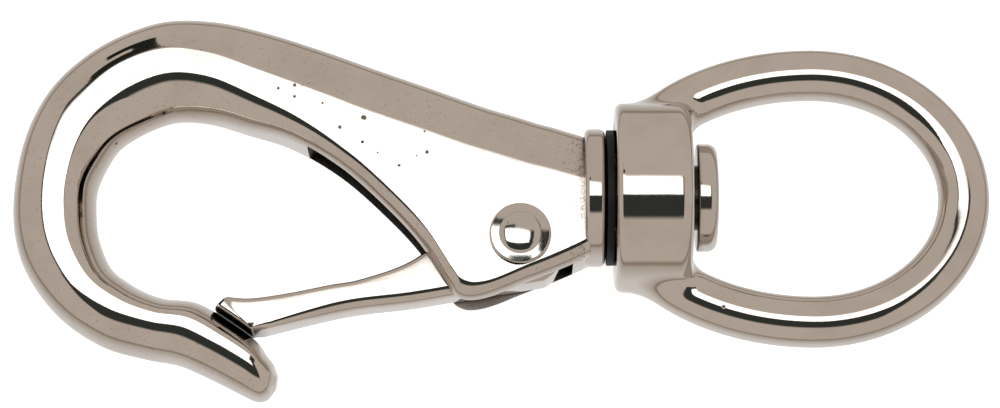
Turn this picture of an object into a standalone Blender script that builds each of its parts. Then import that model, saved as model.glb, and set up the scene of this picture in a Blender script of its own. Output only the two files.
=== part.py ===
"""Swivel-eye snap hook: a cast hook with a sprung gate, and a cast eye that turns on a headed pin.

Metres. The swivel axis is the X axis, which points from the hook to the eye. The origin is the middle
of the eye. +Y is the side of the hook's back, and Z runs through the hook's thickness.
"""
import math

import bmesh
import bpy
from mathutils import Vector

# Clearances.
rest_gap = 0.0003            # between a piece and the face that it rests against
shaft_gap = 0.00015          # all round a shaft in its hole
thrust_gap = 0.00012         # on each face of the thrust washer
end_play = 0.00055           # between the swivel pin's head and the hub
side_gap = 0.00025           # between the gate and each cheek

# Eye: an egg-shaped ring on a round hub.
eye_half_height = 0.01170    # origin to the bar's centre line, across the swivel axis
eye_reach = 0.01410          # origin to the bar's centre line at the eye's far end
eye_shoulder = 0.0180        # half length of the ellipse that the arms follow towards the hub
eye_bar_radius = 0.00238
hub_radius = 0.0088
hub_length = 0.0070
hub_round = 0.0007
hub_offset = 0.01130         # origin to the hub's near face

# Swivel pin and thrust washer.
journal_radius = 0.0030
head_radius = 0.0050
head_thickness = 0.0021
head_round = 0.0009
tenon_radius = 0.0017
tail_radius = 0.0023
tail_thickness = 0.0008
washer_thickness = 0.0007
washer_radius = 0.0063

# Hook casting.
hook_length = 0.05290        # collar's back face to the end of the bow
hook_rise = 0.01705          # swivel axis to the top of the bow
collar_radius = 0.0064
collar_thickness = 0.0019
collar_round = 0.0005
flank = 0.0047               # how far the rounded back of the hook reaches in across its width
web_round = 0.00170          # rounding of the web's inner and lower edges
slot_width = 0.0052          # gap between the two cheeks
root_wall = 0.0011           # metal between the cavity and the collar's back face
cavity_roof = 0.0028         # swivel axis to the cavity's roof beside the swivel pin

# Gate, its rivet and its spring.
pivot_back = 0.00595         # collar's back face to the rivet
pivot_drop = 0.00425         # swivel axis to the rivet
rivet_radius = 0.0015
rivet_head_radius = 0.0028
rivet_head_height = 0.0010
gate_root_radius = 0.0034
gate_round = 0.00045
gate_open = 32.0             # degrees
wire_radius = 0.000275
coil_gap = 0.000325          # between the coil and the rivet inside it
coil_pitch = 0.0007
coil_turns = 2               # whole turns, besides the part turn between the two legs
spring_leg = 0.0070          # the leg that lies in the gate

# Sections of the hook from its nose round the bow and along the back to the collar. Each has the
# back's x as a share of hook_length behind the collar, its y as a share of hook_rise, the direction in
# degrees from the back to the inner edge, the width that way, half the thickness, and how far the
# section has changed from the bow's oval (0) to the flat web with a small edge round (1).
sections = (
    (0.5390, -1.067, 81.0, 0.00162, 0.0013, 0.0),
    (0.5525, -1.114, 79.0, 0.00336, 0.0024, 0.0),
    (0.5715, -1.120, 76.7, 0.00435, 0.0030, 0.0),
    (0.6040, -1.072, 69.5, 0.00505, 0.0034, 0.0),
    (0.6574, -0.989, 67.1, 0.00554, 0.0037, 0.0),
    (0.7066, -0.924, 74.0, 0.00603, 0.0038, 0.0),
    (0.7624, -0.891, 77.6, 0.00584, 0.0039, 0.0),
    (0.8400, -0.821, 63.6, 0.00630, 0.0040, 0.0),
    (0.9158, -0.663, 43.0, 0.00658, 0.0040, 0.0),
    (0.9725, -0.434, 24.0, 0.00730, 0.0040, 0.0),
    (0.9981, -0.188, 10.0, 0.00770, 0.0040, 0.0),
    (0.9981, 0.094, -5.4, 0.00772, 0.0040, 0.0),
    (0.9763, 0.393, -26.3, 0.00830, 0.0040, 0.0),
    (0.9290, 0.645, -45.0, 0.00877, 0.0041, 0.0),
    (0.8495, 0.850, -64.5, 0.00930, 0.0041, 0.0),
    (0.7492, 0.977, -81.6, 0.00960, 0.0041, 0.0),
    (0.6526, 0.982, -93.0, 0.00961, 0.0041, 0.1),
    (0.5608, 0.921, -99.9, 0.00964, 0.0041, 0.25),
    (0.4605, 0.821, -108.2, 0.00942, 0.0041, 0.6),
    (0.3593, 0.707, -110.7, 0.01030, 0.0041, 0.9),
    (0.2552, 0.592, -111.9, 0.01256, 0.0041, 1.0),
    (0.1738, 0.501, -113.2, 0.01480, 0.0041, 1.0),
    (0.1240, 0.454, -110.7, 0.01745, 0.0041, 1.0),
    (0.1010, 0.431, -109.8, 0.01835, 0.0041, 1.0),
    (0.0760, 0.407, -108.0, 0.01785, 0.0041, 1.0),
    (0.0480, 0.383, -100.2, 0.01520, 0.0041, 1.0),
    (-0.0080, 0.328, -90.0, 0.01160, 0.0041, 1.0),
)
web_half_thickness = sections[-1][4]
coil_radius = rivet_radius + coil_gap + wire_radius    # to the middle of the wire
tip_section = 3.80           # where along the sections the gate's end meets the hook's point
slot_section = 18.45         # where the slot for the open gate starts

# Gate outline, as shares of the reach from rivet to point along the gate, and metres across it.
gate_top = ((0.0, 0.00340), (0.20, 0.0025), (0.38, 0.00087), (0.552, 0.00061), (0.663, 0.00094),
            (0.80, 0.00129), (0.9375, 0.00182), (1.0275, 0.00252))
gate_bottom = ((0.248, -0.00345), (0.42, -0.00286), (0.637, -0.00188), (0.947, -0.00132))

# Smoothness.
steps_per_section = 2
section_corner_steps = 5
round_steps = 40
ring_steps = 72
bar_steps = 16

# Places along the swivel axis, from the eye back to the hook.
hub_front = -hub_offset
hub_back = hub_front - hub_length
collar_front = hub_back - washer_thickness - 2 * thrust_gap
collar_back = collar_front - collar_thickness
cavity_end = collar_back - root_wall
tail_front = cavity_end - shaft_gap
pivot = Vector((collar_back - pivot_back, -pivot_drop))
roof_low = pivot + Vector((-0.0065, 0.0048))
roof_high = Vector((pivot.x - 0.0028, cavity_roof))


def clear_scene():
    for obj in list(bpy.data.objects):
        bpy.data.objects.remove(obj, do_unlink=True)


def steel(name, color, roughness, metallic=1.0):
    mat = bpy.data.materials.new(name)
    mat.use_nodes = True
    shader = mat.node_tree.nodes["Principled BSDF"]
    shader.inputs["Base Color"].default_value = (*color, 1.0)
    shader.inputs["Roughness"].default_value = roughness
    shader.inputs["Metallic"].default_value = metallic
    return mat


def add_object(name, bm, mat=None):
    bmesh.ops.recalc_face_normals(bm, faces=bm.faces)
    mesh = bpy.data.meshes.new(name)
    bm.to_mesh(mesh)
    bm.free()
    obj = bpy.data.objects.new(name, mesh)
    bpy.context.collection.objects.link(obj)
    if mat:
        mesh.materials.append(mat)
        mesh.shade_smooth()
        mesh.set_sharp_from_angle(angle=math.radians(35))
    else:
        obj.hide_render = True
        obj.display_type = "WIRE"
    return obj


def combine(obj, other, operation):
    mod = obj.modifiers.new(other.name, "BOOLEAN")
    mod.operation = operation
    mod.object = other


def catmull(rows, t):
    """The row at t along rows, on a smooth curve through all of them."""
    last = len(rows) - 1
    i = min(int(t), last - 1)
    f = t - i
    p0 = rows[max(i - 1, 0)]
    p1 = rows[i]
    p2 = rows[i + 1]
    p3 = rows[min(i + 2, last)]
    return [b + 0.5 * f * (c - a + f * (2 * a - 5 * b + 4 * c - d + f * (3 * (b - c) + d - a)))
            for a, b, c, d in zip(p0, p1, p2, p3)]


def hook_frame(t):
    """Back point, direction to the inner edge, width, half thickness and web share at t."""
    x, y, heading, width, half, web = catmull(sections, t)
    back = Vector((collar_back - x * hook_length, y * hook_rise))
    angle = math.radians(heading)
    return back, Vector((math.cos(angle), math.sin(angle))), width, half, min(max(web, 0.0), 1.0)


def inner_point(t):
    back, across, width, _, _ = hook_frame(t)
    return back + across * width


def hook_ring(t):
    """Outline of the hook's section at t: a rounded back, flat sides and a rounded inner edge."""
    back, across, width, half, web = hook_frame(t)
    back_round = min(flank, 0.43 * width)
    inner_round = 0.43 * width * (1 - web) + web_round * web
    inner_depth = (half - 0.0002) * (1 - web) + web_round * web
    outline = []
    for k in range(-section_corner_steps, section_corner_steps + 1):
        turn = math.radians(90.0 * k / section_corner_steps)
        outline.append((back_round * (1 - math.cos(turn)), half * math.sin(turn)))
    for side in (1, -1):
        for k in range(section_corner_steps + 1):
            share = k if side == 1 else section_corner_steps - k
            turn = math.radians(90.0 * share / section_corner_steps)
            s = width - inner_round * (1 - math.sin(turn))
            outline.append((s, side * (half - inner_depth * (1 - math.cos(turn)))))
    return [Vector((back.x + across.x * s, back.y + across.y * s, z)) for s, z in outline]


def loft(bm, rings):
    """Skin a row of rings of equal length and cap both ends."""
    rows = [[bm.verts.new(p) for p in ring] for ring in rings]
    count = len(rows[0])
    for a, b in zip(rows, rows[1:]):
        for k in range(count):
            bm.faces.new((a[k], a[(k + 1) % count], b[(k + 1) % count], b[k]))
    bm.faces.new(rows[0])
    bm.faces.new(rows[-1])


def turned(name, profile, mat=None, along="X", closed=False, steps=round_steps):
    """Turn a profile of (place along the axis, radius) pairs. Radius 0 is a pole."""
    bm = bmesh.new()
    rows = []
    for x, r in profile:
        count = steps if r > 0 else 1
        row = []
        for k in range(count):
            turn = 2 * math.pi * k / count
            y = r * math.cos(turn)
            z = r * math.sin(turn)
            row.append(bm.verts.new((x, y, z) if along == "X" else (y, z, x)))
        rows.append(row)
    pairs = list(zip(rows, rows[1:]))
    if closed:
        pairs.append((rows[-1], rows[0]))
    for a, b in pairs:
        for k in range(steps):
            ends = [a[k % len(a)], a[(k + 1) % len(a)], b[(k + 1) % len(b)], b[k % len(b)]]
            corners = list(dict.fromkeys(ends))
            if len(corners) > 2:
                bm.faces.new(corners)
    return add_object(name, bm, mat)


def arc(x, r, radius, start, end, steps=4):
    """Points round the centre (x, r) in a profile, from start to end degrees."""
    points = []
    for k in range(steps + 1):
        turn = math.radians(start + (end - start) * k / steps)
        points.append((x + radius * math.cos(turn), r + radius * math.sin(turn)))
    return points


def plate(name, outline, depth, mat=None, origin=(0.0, 0.0)):
    """A flat outline in X and Y with a thickness of depth, centred on Z = 0."""
    bm = bmesh.new()
    base = [(x - origin[0], y - origin[1], -depth / 2) for x, y in outline]
    face = bm.faces.new([bm.verts.new(place) for place in base])
    raised = bmesh.ops.extrude_face_region(bm, geom=[face])["geom"]
    verts = [v for v in raised if isinstance(v, bmesh.types.BMVert)]
    bmesh.ops.translate(bm, verts=verts, vec=(0, 0, depth))
    obj = add_object(name, bm, mat)
    obj.location = (*origin, 0.0)
    return obj


def cylinder_cutter(name, radius, start, end, along="X"):
    return turned(name, ((start, 0), (start, radius), (end, radius), (end, 0)), None, along)


def tube(name, path, radius, mat, resolution):
    """A round bar or wire along the path."""
    curve = bpy.data.curves.new(name, "CURVE")
    curve.dimensions = "3D"
    curve.bevel_depth = radius
    curve.bevel_resolution = resolution
    curve.use_fill_caps = True
    spline = curve.splines.new("POLY")
    spline.points.add(len(path) - 1)
    for point, place in zip(spline.points, path):
        point.co = (*place, 1.0)
    obj = bpy.data.objects.new(name, curve)
    bpy.context.collection.objects.link(obj)
    curve.materials.append(mat)
    return obj


def make_hook_body(mat):
    bm = bmesh.new()
    count = (len(sections) - 1) * steps_per_section
    loft(bm, [hook_ring(k / steps_per_section) for k in range(count + 1)])
    body = add_object("hook_body", bm, mat)
    outer = collar_radius - collar_round
    profile = [(collar_back, 0.0)]
    profile += arc(collar_back + collar_round, outer, collar_round, 180, 90)
    profile += arc(collar_front - collar_round, outer, collar_round, 90, 0)
    profile += [(collar_front, 0.0)]
    combine(body, turned("collar_shape", profile), "UNION")
    start = inner_point(slot_section)
    corner = inner_point(23)
    cavity = (
        start + Vector((-0.0012, -0.0006)),
        start + Vector((-0.0002, 0.0004)),
        start + Vector((0.0008, 0.0009)),
        roof_low,
        roof_high,
        Vector((cavity_end, cavity_roof)),
        Vector((cavity_end, corner.y - 0.002)),
        Vector((corner.x - 0.004, corner.y - 0.002)),
    )
    combine(body, plate("cavity_cut", cavity, slot_width), "DIFFERENCE")
    hole = cylinder_cutter("rivet_hole_cut", rivet_radius + shaft_gap, -hook_rise, hook_rise, "Z")
    hole.location = pivot.to_3d()
    combine(body, hole, "DIFFERENCE")
    bore = cylinder_cutter("tenon_hole_cut", tenon_radius + shaft_gap, cavity_end - 0.0005,
                           collar_front + 0.001)
    combine(body, bore, "DIFFERENCE")
    tail_room = cylinder_cutter("tail_room_cut", tail_radius + shaft_gap,
                                tail_front - tail_thickness - shaft_gap, tail_front + shaft_gap / 2)
    combine(body, tail_room, "DIFFERENCE")
    return body


def gate_point(share, offset):
    """A point in the gate's plane: a share of the way from rivet to tip, and offset to the inside."""
    along, length = gate_line()
    inward = Vector((along.y, -along.x))
    return pivot + along * (length * share) + inward * offset


def gate_line():
    """Direction and length from the rivet to where the gate's end meets the hook's point."""
    reach = inner_point(tip_section) - pivot
    return reach.normalized(), reach.length


def spring_line():
    """Angles where the coil's wire starts and ends, angle and length of the leg under the roof."""
    rest = roof_low.lerp(roof_high, 0.3) - pivot + Vector((0, -wire_radius - rest_gap))
    leg_angle = math.atan2(rest.y, rest.x) + math.asin(coil_radius / rest.length)
    along, _ = gate_line()
    first = math.atan2(along.y, along.x) + math.pi / 2
    sweep = (leg_angle - math.pi / 2 - first) % (2 * math.pi) + 2 * math.pi * coil_turns
    return first, sweep, leg_angle, math.sqrt(rest.length_squared - coil_radius ** 2)


def spring_rise():
    """How far the coil's wire climbs along the rivet between its two legs."""
    _, sweep, _, _ = spring_line()
    return coil_pitch * sweep / (2 * math.pi)


def make_gate(mat):
    along, length = gate_line()
    below = Vector((-along.y, along.x))
    flank_line = (inner_point(tip_section - 0.4) - inner_point(tip_section + 0.4)).normalized()
    off = Vector((flank_line.y, -flank_line.x))
    if off.dot(pivot - inner_point(tip_section)) < 0:
        off = -off
    stop = inner_point(tip_section) + off * rest_gap

    def meet_stop(point, only_back=False):
        """Slide the point along the gate to the line of the hook's inner flank."""
        slide = (stop - point).dot(off) / along.dot(off)
        return point + along * (min(slide, 0.0) if only_back else slide)

    def smooth(rows, steps):
        count = (len(rows) - 1) * steps
        return [catmull(rows, k / steps) for k in range(count + 1)]

    outline = [gate_point(s, n) for s, n in smooth(gate_top, 2)[1:-1]]
    outline.append(meet_stop(gate_point(*gate_top[-1]), only_back=True))
    lower = [gate_point(s, n) for s, n in smooth(gate_bottom, 2)]
    outline.append(meet_stop(lower[-1]))
    outline += lower[-2::-1]
    start_angle = math.atan2(below.y, below.x)
    for k in range(13):
        turn = start_angle + math.radians(12 + 168 * k / 12)
        outline.append(pivot + gate_root_radius * Vector((math.cos(turn), math.sin(turn))))
    depth = slot_width - 2 * side_gap
    gate = plate("gate", outline, depth, mat, pivot)
    round_off = gate.modifiers.new("edge_round", "BEVEL")
    round_off.width = gate_round
    round_off.segments = 2
    round_off.limit_method = "ANGLE"
    round_off.angle_limit = math.radians(60)
    coil_room = coil_radius + wire_radius + rest_gap
    room_depth = spring_rise() + 2 * wire_radius + 2 * shaft_gap
    leg_end = spring_leg / length + 0.02
    groove = [gate_point(leg_end, -(coil_radius + wire_radius + rest_gap)),
              gate_point(leg_end, 0.008),
              gate_point(-0.2, 0.008),
              gate_point(-0.2, -coil_room),
              gate_point(0.0, -coil_room)]
    combine(gate, plate("spring_groove_cut", groove, room_depth), "DIFFERENCE")
    hole = cylinder_cutter("gate_hole_cut", rivet_radius + shaft_gap, -slot_width, slot_width, "Z")
    hole.location = pivot.to_3d()
    combine(gate, hole, "DIFFERENCE")
    return gate


def make_gate_rivet(mat):
    head_base = web_half_thickness + rest_gap
    crown = head_base + rivet_head_height
    edge = rivet_head_height * 0.45
    half = [(crown, 0.0)]
    for k in range(1, 7):
        share = k / 6
        half.append((crown - (crown - head_base - edge) * share ** 2.2, rivet_head_radius * share))
    half += [(head_base, rivet_head_radius), (head_base, rivet_radius)]
    profile = half + [(-z, r) for z, r in reversed(half)]
    rivet = turned("gate_rivet", profile, mat, "Z", steps=32)
    rivet.location = pivot.to_3d()
    return rivet


def make_gate_spring(mat):
    """A double-legged torsion spring: one leg lies in the gate's groove, one under the roof."""
    along, _ = gate_line()
    first, sweep, leg_angle, roof_leg = spring_line()
    rise = spring_rise()
    count = 20 * coil_turns
    coil = []
    for k in range(count + 1):
        share = k / count
        angle = first + sweep * share
        coil.append(Vector((coil_radius * math.cos(angle), coil_radius * math.sin(angle),
                            rise * (share - 0.5))))
    gate_end = coil[0] + along.to_3d() * spring_leg
    roof_end = coil[-1] + Vector((math.cos(leg_angle), math.sin(leg_angle), 0)) * roof_leg
    path = [gate_end] + coil + [roof_end]
    spring = tube("gate_spring", path, wire_radius, mat, 2)
    spring.location = pivot.to_3d()
    return spring


def eye_path():
    """The eye's bar from one end inside the hub round the far end to the other."""
    path = []
    inside = math.acos((hub_front - 0.62 * hub_length) / eye_shoulder)
    for k in range(ring_steps + 1):
        turn = inside * (1 - 2 * k / ring_steps)
        reach = eye_reach if math.cos(turn) > 0 else eye_shoulder
        path.append(Vector((reach * math.cos(turn), eye_half_height * math.sin(turn), 0)))
    return path


def make_swivel_eye(mat):
    bm = bmesh.new()
    path = eye_path()
    rings = []
    for k, point in enumerate(path):
        ahead = path[min(k + 1, ring_steps)] - path[max(k - 1, 0)]
        side = Vector((ahead.y, -ahead.x, 0)).normalized()
        turns = [2 * math.pi * j / bar_steps for j in range(bar_steps)]
        rings.append([point + side * (eye_bar_radius * math.cos(a))
                      + Vector((0, 0, eye_bar_radius * math.sin(a))) for a in turns])
    loft(bm, rings)
    eye = add_object("swivel_eye", bm, mat)
    outer = hub_radius - hub_round
    profile = [(hub_back, 0.0)]
    profile += arc(hub_back + hub_round, outer, hub_round, 180, 90)
    profile += arc(hub_front - hub_round, outer, hub_round, 90, 0)
    profile += [(hub_front, 0.0)]
    combine(eye, turned("hub_shape", profile, steps=56), "UNION")
    bore = cylinder_cutter("hub_bore_cut", journal_radius + shaft_gap, hub_back - 0.001,
                           hub_front + 0.001)
    combine(eye, bore, "DIFFERENCE")
    return eye


def make_swivel_pin(mat):
    """Head in the eye, journal through the hub and washer, tenon peened over in the hook."""
    head_back = hub_front + end_play
    head_end = head_back + head_thickness
    shoulder = collar_front + thrust_gap
    outer = head_radius - head_round
    profile = [(head_end, 0.0)]
    profile += arc(head_end - head_round, outer, head_round, 0, 90)
    profile += [(head_back, head_radius), (head_back, journal_radius), (shoulder, journal_radius)]
    profile += [(shoulder, tenon_radius), (tail_front, tenon_radius), (tail_front, tail_radius)]
    profile += arc(tail_front, 0.0, tail_radius, 108, 180)
    profile = [(max(x, tail_front - tail_thickness), r if r > 1e-9 else 0.0) for x, r in profile]
    return turned("swivel_pin", list(dict.fromkeys(profile)), mat)


def make_thrust_washer(mat):
    front = hub_back - thrust_gap
    back = front - washer_thickness
    inner = journal_radius + shaft_gap
    profile = ((front, inner), (front, washer_radius), (back, washer_radius), (back, inner))
    return turned("thrust_washer", profile, mat, closed=True)


clear_scene()
cast_steel = steel("cast_stainless_polished", (0.60, 0.57, 0.53), 0.12)
make_hook_body(cast_steel)
make_gate(cast_steel)
make_swivel_eye(cast_steel)
turned_steel = steel("turned_stainless_polished", (0.60, 0.57, 0.53), 0.10)
make_gate_rivet(turned_steel)
make_swivel_pin(turned_steel)
make_gate_spring(steel("spring_steel_wire", (0.45, 0.44, 0.42), 0.3))
make_thrust_washer(steel("black_acetal", (0.02, 0.02, 0.02), 0.5, 0.0))
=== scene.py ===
import math

import bmesh
import bpy
import numpy as np
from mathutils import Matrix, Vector


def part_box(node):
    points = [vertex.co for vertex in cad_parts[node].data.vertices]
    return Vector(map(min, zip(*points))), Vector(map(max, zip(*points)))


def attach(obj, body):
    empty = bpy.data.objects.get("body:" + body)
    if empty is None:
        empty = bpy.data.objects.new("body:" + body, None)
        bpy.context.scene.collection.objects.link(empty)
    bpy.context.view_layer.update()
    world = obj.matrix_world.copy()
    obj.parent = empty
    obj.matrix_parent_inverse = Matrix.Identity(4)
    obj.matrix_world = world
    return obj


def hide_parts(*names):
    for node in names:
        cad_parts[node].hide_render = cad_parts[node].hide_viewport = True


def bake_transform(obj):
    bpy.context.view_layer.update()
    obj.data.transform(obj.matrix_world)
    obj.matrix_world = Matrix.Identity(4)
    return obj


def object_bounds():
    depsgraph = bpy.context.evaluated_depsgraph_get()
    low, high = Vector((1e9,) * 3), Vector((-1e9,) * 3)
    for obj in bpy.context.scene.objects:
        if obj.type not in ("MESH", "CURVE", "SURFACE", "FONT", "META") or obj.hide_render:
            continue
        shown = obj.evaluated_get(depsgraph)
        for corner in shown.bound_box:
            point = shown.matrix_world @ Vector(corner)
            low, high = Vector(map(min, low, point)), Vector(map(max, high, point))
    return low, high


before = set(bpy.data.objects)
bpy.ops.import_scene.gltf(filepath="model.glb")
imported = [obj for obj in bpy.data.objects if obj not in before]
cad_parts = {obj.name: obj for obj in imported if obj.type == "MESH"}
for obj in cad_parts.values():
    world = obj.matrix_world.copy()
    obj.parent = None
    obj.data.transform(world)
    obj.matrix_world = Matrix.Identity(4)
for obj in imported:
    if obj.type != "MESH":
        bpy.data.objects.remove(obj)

cadLow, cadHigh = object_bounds()
mm = 0.001

# Places that the frame gives.
eyeLow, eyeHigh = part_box("swivel_eye")
pinLow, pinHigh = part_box("swivel_pin")
rivetLow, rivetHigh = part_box("gate_rivet")
washerLow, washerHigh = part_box("thrust_washer")
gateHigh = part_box("gate")[1]
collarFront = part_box("hook_body")[1].x
hubBack = eyeLow.x
pivot = Vector(((rivetLow.x + rivetHigh.x) / 2, (rivetLow.y + rivetHigh.y) / 2))


def addNode(tree, kind, inputs=None, **settings):
    # One node with its settings; an input is given a value or the socket that feeds it.
    node = tree.nodes.new(kind)
    for key, value in settings.items():
        setattr(node, key, value)
    for key, value in (inputs or {}).items():
        if isinstance(value, bpy.types.NodeSocket):
            tree.links.new(value, node.inputs[key])
        else:
            node.inputs[key].default_value = value
    return node


def hexToLinear(text):
    channels = [int(text[i:i + 2], 16) / 255 for i in (1, 3, 5)]
    return tuple(c / 12.92 if c <= 0.04045 else ((c + 0.055) / 1.055) ** 2.4 for c in channels) + (1.0,)


def startMaterial(name, values):
    # A new material, its node tree, and its shader with these values.
    mat = bpy.data.materials.new(name)
    mat.use_nodes = True
    shader = mat.node_tree.nodes["Principled BSDF"]
    for key, value in values.items():
        shader.inputs[key].default_value = value
    return mat, mat.node_tree, shader


castStainless = {
    "colour": "#d4cdc6",       # 316 stainless, tumbled and then buffed on a mop
    "worn": "#cac2ba",         # where polishing compound stays in the skin
    "hazeSize": 5.5,           # mm
    "pit": "#665f57",
    "pitSpacing": 1.7,         # mm between places where a pit can be
    "pitRadius": 0.2,          # mm
    "pitEdge": 0.35,           # mm, size of what makes a pit ragged
    "pitDepth": 0.06,          # mm
    "speck": "#7d746a",        # grit that the mop left beside the collar, and faintly on the web
    "speckSize": 0.26,         # mm
    "shadeColour": "#2a2925",      # painted shade: the colour laid deep between two surfaces
    "creviceReach": 2.0,       # mm
    "creviceEdge": 0.7,        # how open a place is, from 0 to 1, where the painted shade ends
    "roughness": 0.05,
    "waveSize": 2.6,           # mm between the soft dips of a buffed casting
    "waveDepth": 0.0064,       # mm
    "grainSize": 0.16,         # mm, drawn coarser than the real buffing lines so that it shows
    "grainDepth": 0.0006,      # mm
}


def addPaintedCreviceShade(tree, colour, sizes):
    # Painted shade: darkens the colour of what lies deep between two surfaces.
    openness = addNode(tree, "ShaderNodeAmbientOcclusion", {"Distance": sizes["creviceReach"] * mm},
                       samples=8)
    paintedShadeShare = addNode(tree, "ShaderNodeMapRange", {"Value": openness.outputs["AO"], "From Min": 0.3,
                                                 "From Max": sizes["creviceEdge"], "To Min": 1.0,
                                                 "To Max": 0.0})
    return addNode(tree, "ShaderNodeMix", {"Factor": paintedShadeShare.outputs[0], 6: colour,
                                           7: hexToLinear(sizes["shadeColour"])}, data_type="RGBA").outputs[2]


def addPits(tree, place, sizes, pitShare, pits):
    # 1 inside a gas pit: a few strewn at random, and those that have a place of their own.
    cells = addNode(tree, "ShaderNodeTexVoronoi", {"Vector": place, "Scale": 1 / (sizes["pitSpacing"] * mm),
                                                   "Randomness": 1.0})
    cellPick = addNode(tree, "ShaderNodeSeparateColor", {"Color": cells.outputs["Color"]})
    chosen = addNode(tree, "ShaderNodeMath", {0: cellPick.outputs[0], 1: pitShare}, operation="LESS_THAN")
    reach = sizes["pitRadius"] / sizes["pitSpacing"]
    near = addNode(tree, "ShaderNodeMapRange", {"Value": cells.outputs["Distance"], "From Min": reach * 0.35,
                                                "From Max": reach, "To Min": 1.0, "To Max": 0.0},
                   interpolation_type="SMOOTHSTEP")
    pit = addNode(tree, "ShaderNodeMath", {0: near.outputs[0], 1: chosen.outputs[0]}, operation="MULTIPLY")
    ragged = addNode(tree, "ShaderNodeTexNoise", {"Vector": place, "Scale": 1 / (sizes["pitEdge"] * mm),
                                                  "Detail": 2.0})
    for x, y, radius in pits:
        gap = addNode(tree, "ShaderNodeVectorMath", {0: place, 1: (x * mm, y * mm, webFace * mm)},
                      operation="DISTANCE")
        rough = addNode(tree, "ShaderNodeMath", {0: ragged.outputs["Fac"], 1: 1.1 * radius * mm,
                                                 2: gap.outputs["Value"]}, operation="MULTIPLY_ADD")
        dip = addNode(tree, "ShaderNodeMapRange", {"Value": rough.outputs[0], "From Min": 0.95 * radius * mm,
                                                   "From Max": 1.7 * radius * mm, "To Min": 1.0,
                                                   "To Max": 0.0})
        pit = addNode(tree, "ShaderNodeMath", {0: pit.outputs[0], 1: dip.outputs[0]}, operation="MAXIMUM")
    return pit.outputs[0]


def addSpecks(tree, place, colour, sizes):
    # Grit: dense in the last two millimetres before the collar, faint on the web, none on the collar.
    part = addNode(tree, "ShaderNodeSeparateXYZ", {"Vector": place})
    grit = addNode(tree, "ShaderNodeTexNoise", {"Vector": place, "Scale": 1 / (sizes["speckSize"] * mm),
                                                "Detail": 3.0, "Roughness": 0.7})
    least = addNode(tree, "ShaderNodeMapRange", {"Value": part.outputs["X"],
                                                 "From Min": collarBack - 2.2 * mm,
                                                 "From Max": collarBack - 0.2 * mm, "To Min": 0.61,
                                                 "To Max": 0.49})
    ahead = addNode(tree, "ShaderNodeMath", {0: part.outputs["X"], 1: collarBack}, operation="GREATER_THAN")
    least = addNode(tree, "ShaderNodeMath", {0: ahead.outputs[0], 1: 0.3, 2: least.outputs[0]},
                    operation="MULTIPLY_ADD")
    over = addNode(tree, "ShaderNodeMath", {0: grit.outputs["Fac"], 1: least.outputs[0]},
                   operation="SUBTRACT")
    speck = addNode(tree, "ShaderNodeMapRange", {"Value": over.outputs[0], "From Max": 0.12,
                                                 "To Max": 0.75})
    return addNode(tree, "ShaderNodeMix", {"Factor": speck.outputs[0], 6: colour,
                                           7: hexToLinear(sizes["speck"])}, data_type="RGBA").outputs[2]


def makeCastStainless(name, sizes, pitShare, pits=()):
    # Lost-wax cast stainless: mirror-like, a little wavy, with a few gas pits and a faint buffing haze.
    mat, tree, shader = startMaterial(name, {"Metallic": 1.0})
    place = addNode(tree, "ShaderNodeTexCoord").outputs["Object"]
    haze = addNode(tree, "ShaderNodeTexNoise", {"Vector": place, "Scale": 1 / (sizes["hazeSize"] * mm),
                                                "Detail": 5.0, "Roughness": 0.62})
    hazeMask = addNode(tree, "ShaderNodeMapRange", {"Value": haze.outputs["Fac"], "From Min": 0.45,
                                                    "From Max": 0.72})
    skin = addNode(tree, "ShaderNodeMix", {"Factor": hazeMask.outputs[0], 6: hexToLinear(sizes["colour"]),
                                           7: hexToLinear(sizes["worn"])}, data_type="RGBA")
    pit = addPits(tree, place, sizes, pitShare, pits)
    colour = addNode(tree, "ShaderNodeMix", {"Factor": pit, 6: skin.outputs[2],
                                             7: hexToLinear(sizes["pit"])}, data_type="RGBA").outputs[2]
    if pits:
        colour = addSpecks(tree, place, colour, sizes)
    # Painted shade darkens the colour in the crevices.
    tree.links.new(addPaintedCreviceShade(tree, colour, sizes), shader.inputs["Base Color"])
    rough = addNode(tree, "ShaderNodeMath", {0: hazeMask.outputs[0], 1: 0.03, 2: sizes["roughness"]},
                    operation="MULTIPLY_ADD")
    roughPit = addNode(tree, "ShaderNodeMath", {0: pit, 1: 0.4, 2: rough.outputs[0]},
                       operation="MULTIPLY_ADD")
    tree.links.new(roughPit.outputs[0], shader.inputs["Roughness"])
    wave = addNode(tree, "ShaderNodeTexNoise", {"Vector": place, "Scale": 1 / (sizes["waveSize"] * mm),
                                                "Detail": 1.0})
    waveBump = addNode(tree, "ShaderNodeBump", {"Height": wave.outputs["Fac"], "Strength": 1.0,
                                                "Distance": sizes["waveDepth"] * mm})
    grain = addNode(tree, "ShaderNodeTexNoise", {"Vector": place, "Scale": 1 / (sizes["grainSize"] * mm),
                                                 "Detail": 2.0})
    grainBump = addNode(tree, "ShaderNodeBump", {"Height": grain.outputs["Fac"], "Strength": 1.0,
                                                 "Distance": sizes["grainDepth"] * mm,
                                                 "Normal": waveBump.outputs[0]})
    pitBump = addNode(tree, "ShaderNodeBump", {"Height": pit, "Strength": 1.0,
                                               "Distance": sizes["pitDepth"] * mm,
                                               "Normal": grainBump.outputs[0]}, invert=True)
    tree.links.new(pitBump.outputs[0], shader.inputs["Normal"])
    return mat


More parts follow.
